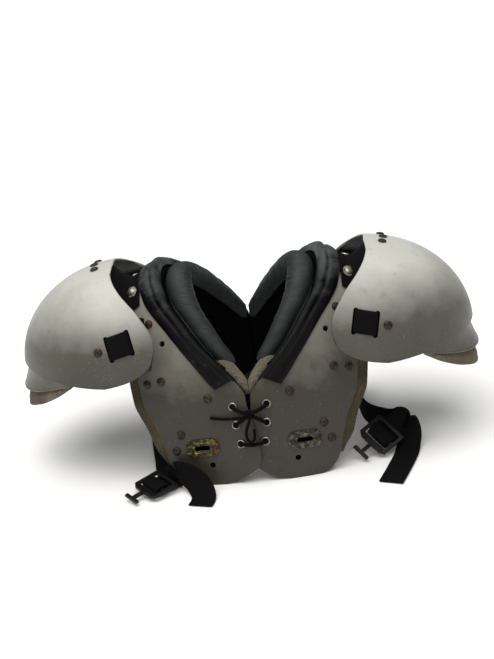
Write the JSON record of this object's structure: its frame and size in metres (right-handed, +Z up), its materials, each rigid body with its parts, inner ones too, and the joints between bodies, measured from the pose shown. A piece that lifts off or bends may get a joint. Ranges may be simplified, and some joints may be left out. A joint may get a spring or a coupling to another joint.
{
  "type": "football shoulder pad",
  "caption": "Two plastic body arches laced at chest and back, with padded neck edge, mesh lining and a cap on webbing over an epaulet at each shoulder",
  "frame": {"origin": "middle of the floor under the part, the free ends of the chest lace left out; the bottom edges of the plates stand on z = 0", "axes": "+X to the wearer's left, which is the right of the picture; -Y to the chest; +Z up"},
  "size_m": [0.5134, 0.2858, 0.2218],
  "materials": {
    "plate_shell": "satin grey plastic, grey-brown, scuffed",
    "cap_shell": "satin silver-grey plastic, scuffed on top",
    "epaulet_shell": "satin grey plastic",
    "neck_vinyl": "black vinyl, glossy, wrinkled",
    "neck_roll": "charcoal coated fabric, fine cross wrinkles",
    "mesh_lining": "tan-grey knitted mesh",
    "webbing": "black woven webbing",
    "hook_plastic": "black moulded plastic",
    "nickel": "nickel plated, dull",
    "brass": "brass plated, worn",
    "bronze": "oxidised bronze brown",
    "lace": "black braided cord"
  },
  "bodies": {
    "root": {"arch_left": "plate_shell", "neck_binding_left": "neck_vinyl", "neck_roll_left": "neck_roll", "lining_pad_left": "mesh_lining", "cap_left": "cap_shell", "epaulet_left": "epaulet_shell", "epaulet_pad_left": "mesh_lining", "shoulder_webbing_left": "webbing", "cap_loop_front_left": "webbing", "cap_loop_back_left": "webbing", "belt_left": "webbing", "belt_hook_left": "hook_plastic", "hook_plate_left": "brass", "eyelet_front_left_1": "nickel", "eyelet_front_left_2": "nickel", "eyelet_front_left_3": "nickel", "eyelet_back_left_1": "nickel", "eyelet_back_left_2": "nickel", "eyelet_back_left_3": "nickel", "plate_rivet_left_1": "bronze", "plate_rivet_left_2": "bronze", "plate_rivet_left_3": "bronze", "cap_rivet_left_1": "bronze", "cap_rivet_left_2": "bronze", "cap_rivet_left_3": "bronze", "loop_rivet_left": "bronze", "webbing_rivet_left_1": "nickel", "webbing_rivet_left_2": "nickel", "arch_right": "plate_shell", "neck_binding_right": "neck_vinyl", "neck_roll_right": "neck_roll", "lining_pad_right": "mesh_lining", "cap_right": "cap_shell", "epaulet_right": "epaulet_shell", "epaulet_pad_right": "mesh_lining", "shoulder_webbing_right": "webbing", "cap_loop_front_right": "webbing", "cap_loop_back_right": "webbing", "belt_right": "webbing", "belt_hook_right": "hook_plastic", "hook_plate_right": "nickel", "eyelet_front_right_1": "nickel", "eyelet_front_right_2": "nickel", "eyelet_front_right_3": "nickel", "eyelet_back_right_1": "nickel", "eyelet_back_right_2": "nickel", "eyelet_back_right_3": "nickel", "plate_rivet_right_1": "bronze", "plate_rivet_right_2": "bronze", "plate_rivet_right_3": "bronze", "cap_rivet_right_1": "bronze", "cap_rivet_right_2": "bronze", "cap_rivet_right_3": "bronze", "loop_rivet_right": "bronze", "webbing_rivet_right_1": "nickel", "webbing_rivet_right_2": "nickel", "lace_front": "lace", "lace_back": "lace", "lace_loop": "lace", "lace_tail": "lace"}
  },
  "joints": []
}
